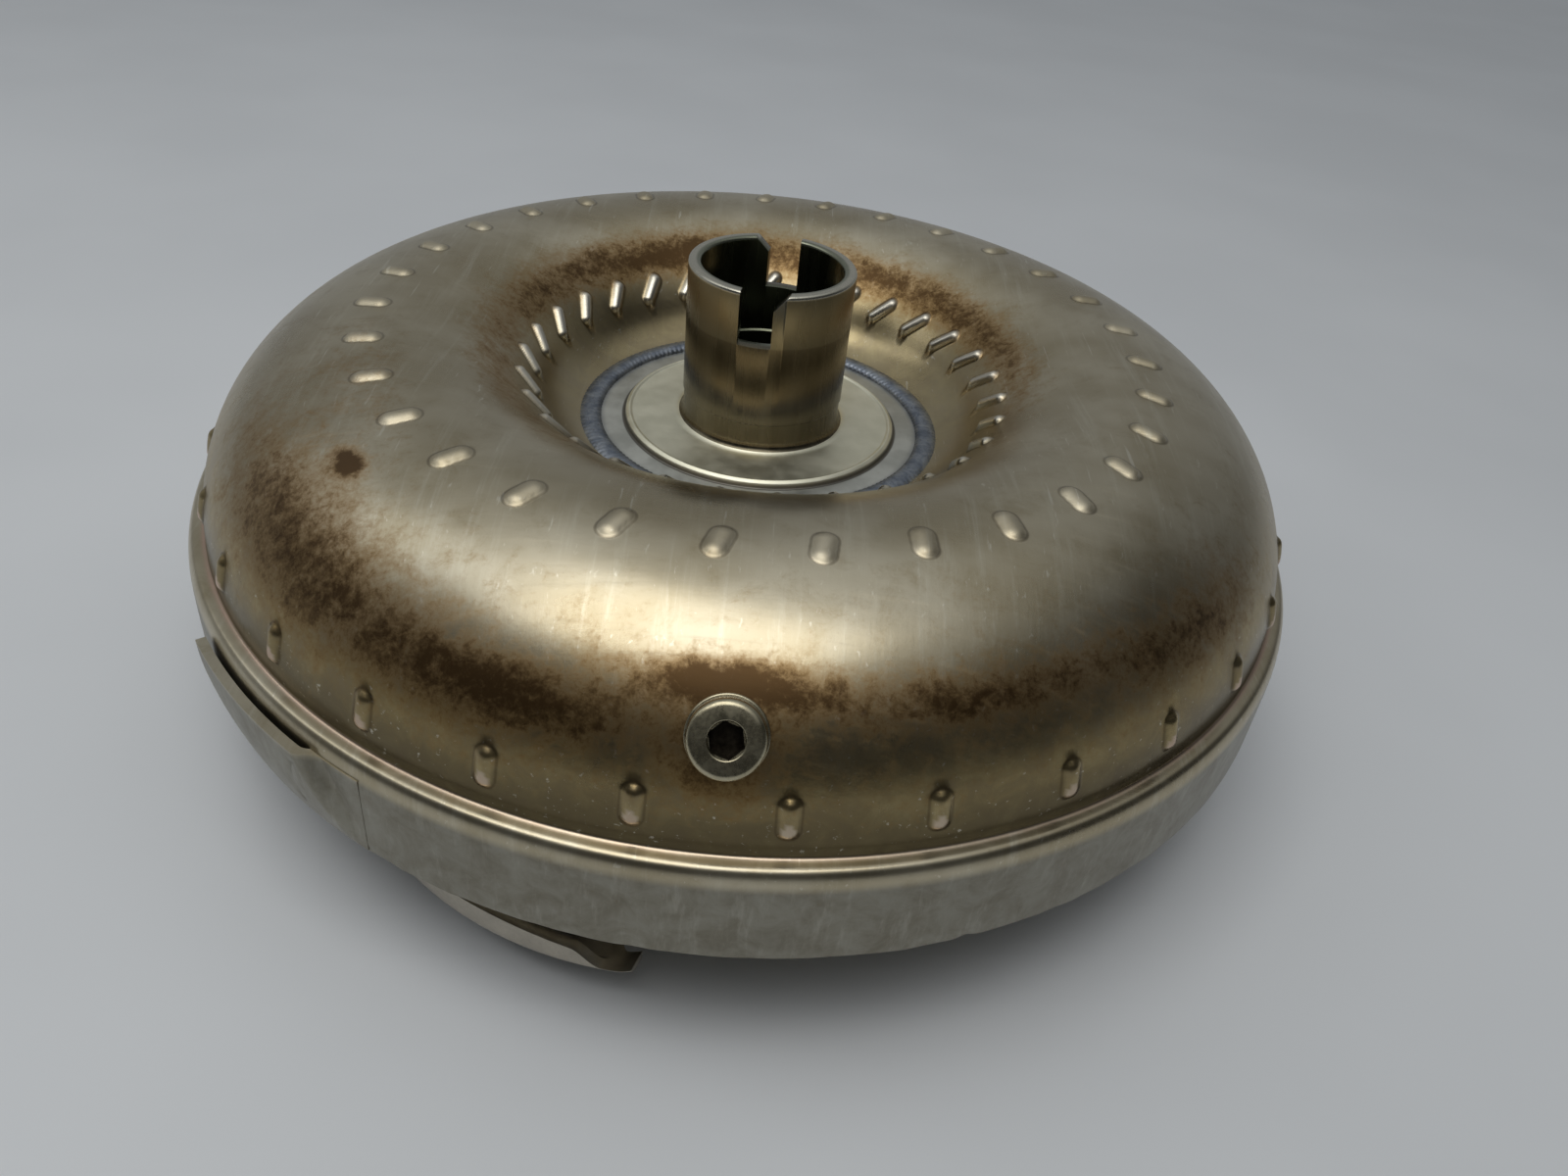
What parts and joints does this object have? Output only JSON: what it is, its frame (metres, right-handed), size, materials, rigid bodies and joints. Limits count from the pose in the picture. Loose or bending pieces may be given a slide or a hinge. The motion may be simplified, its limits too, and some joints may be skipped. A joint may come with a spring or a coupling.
{
  "type": "torque converter",
  "caption": "Welded-shell torque converter: bladed impeller housing with a slotted pump hub, turbine, one-way-clutch stator, and brackets that bolt to an engine's drive plate.",
  "frame": {"origin": "centre of the crank pilot's flat end face, which is the lowest point, on the shaft axis", "axes": "+Z along the shaft axis from the engine side to the transmission side; -Y faces the drain plug"},
  "size_m": [0.2842, 0.2842, 0.1086],
  "materials": {
    "varnished_shell_steel": "pressed steel sheet with baked brown oil varnish, heat tint and fine curved scratches",
    "ground_hub_steel": "turned and ground steel, dark, with long soft reflections",
    "weld_steel": "weld bead with blue-grey heat colour",
    "pressed_steel": "bare pressed steel sheet",
    "plug_steel": "machined steel, lightly worn",
    "hardened_steel": "hardened and ground bearing steel",
    "cast_aluminium": "as-cast aluminium"
  },
  "bodies": {
    "housing": {"bracket_weld_1": "weld_steel", "bracket_weld_2": "weld_steel", "bracket_weld_3": "weld_steel", "crank_pilot": "hardened_steel", "drain_plug": "plug_steel", "drain_plug_bung": "plug_steel", "drain_plug_washer": "plug_steel", "drive_bracket_1": "pressed_steel", "drive_bracket_2": "pressed_steel", "drive_bracket_3": "pressed_steel", "drive_nut_1": "hardened_steel", "drive_nut_2": "hardened_steel", "drive_nut_3": "hardened_steel", "drive_nut_4": "hardened_steel", "drive_nut_5": "hardened_steel", "drive_nut_6": "hardened_steel", "front_bearing_race": "hardened_steel", "front_cover": "varnished_shell_steel", "hub_weld_bead": "weld_steel", "impeller_blade_wheel": "pressed_steel", "impeller_shell": "varnished_shell_steel", "pilot_weld_bead": "weld_steel", "pump_hub": "ground_hub_steel", "rear_bearing_race": "hardened_steel", "rim_weld_bead": "weld_steel"},
    "turbine": {"middle_bearing_race": "hardened_steel", "turbine_blade_wheel": "pressed_steel", "turbine_hub": "hardened_steel", "turbine_rivet_1": "pressed_steel", "turbine_rivet_2": "pressed_steel", "turbine_rivet_3": "pressed_steel", "turbine_rivet_4": "pressed_steel", "turbine_rivet_5": "pressed_steel", "turbine_rivet_6": "pressed_steel", "turbine_shell": "pressed_steel"},
    "stator": {"clutch_front_plate": "hardened_steel", "clutch_outer_race": "hardened_steel", "clutch_rear_plate": "hardened_steel", "clutch_roller_1": "hardened_steel", "clutch_roller_2": "hardened_steel", "clutch_roller_3": "hardened_steel", "clutch_roller_4": "hardened_steel", "clutch_roller_5": "hardened_steel", "clutch_roller_6": "hardened_steel", "clutch_roller_7": "hardened_steel", "clutch_roller_8": "hardened_steel", "clutch_snap_ring": "pressed_steel", "clutch_spring_1": "pressed_steel", "clutch_spring_2": "pressed_steel", "clutch_spring_3": "pressed_steel", "clutch_spring_4": "pressed_steel", "clutch_spring_5": "pressed_steel", "clutch_spring_6": "pressed_steel", "clutch_spring_7": "pressed_steel", "clutch_spring_8": "pressed_steel", "middle_bearing_cage": "hardened_steel", "stator_wheel": "cast_aluminium"},
    "inner_race": {"clutch_inner_race": "hardened_steel"},
    "front_bearing": {"front_bearing_cage": "hardened_steel"},
    "rear_bearing": {"rear_bearing_cage": "hardened_steel"}
  },
  "joints": [
    {"name": "turbine_spin", "type": "hinge", "parent": "housing", "child": "turbine", "pos_m": [0, 0, 0.03], "axis": [0, 0, 1], "continuous": true},
    {"name": "stator_spin", "type": "hinge", "parent": "housing", "child": "stator", "pos_m": [0, 0, 0.052], "axis": [0, 0, 1], "continuous": true},
    {"name": "inner_race_spin", "type": "hinge", "parent": "housing", "child": "inner_race", "pos_m": [0, 0, 0.052], "axis": [0, 0, 1], "continuous": true},
    {"name": "front_bearing_spin", "type": "hinge", "parent": "housing", "child": "front_bearing", "pos_m": [0, 0, 0.02], "axis": [0, 0, 1], "continuous": true},
    {"name": "rear_bearing_spin", "type": "hinge", "parent": "housing", "child": "rear_bearing", "pos_m": [0, 0, 0.06], "axis": [0, 0, 1], "continuous": true}
  ],
  "couplings": [
    {"joint": "front_bearing_spin", "follows": "turbine_spin", "ratio": 0.5},
    {"joint": "rear_bearing_spin", "follows": "stator_spin", "ratio": 0.5}
  ]
}
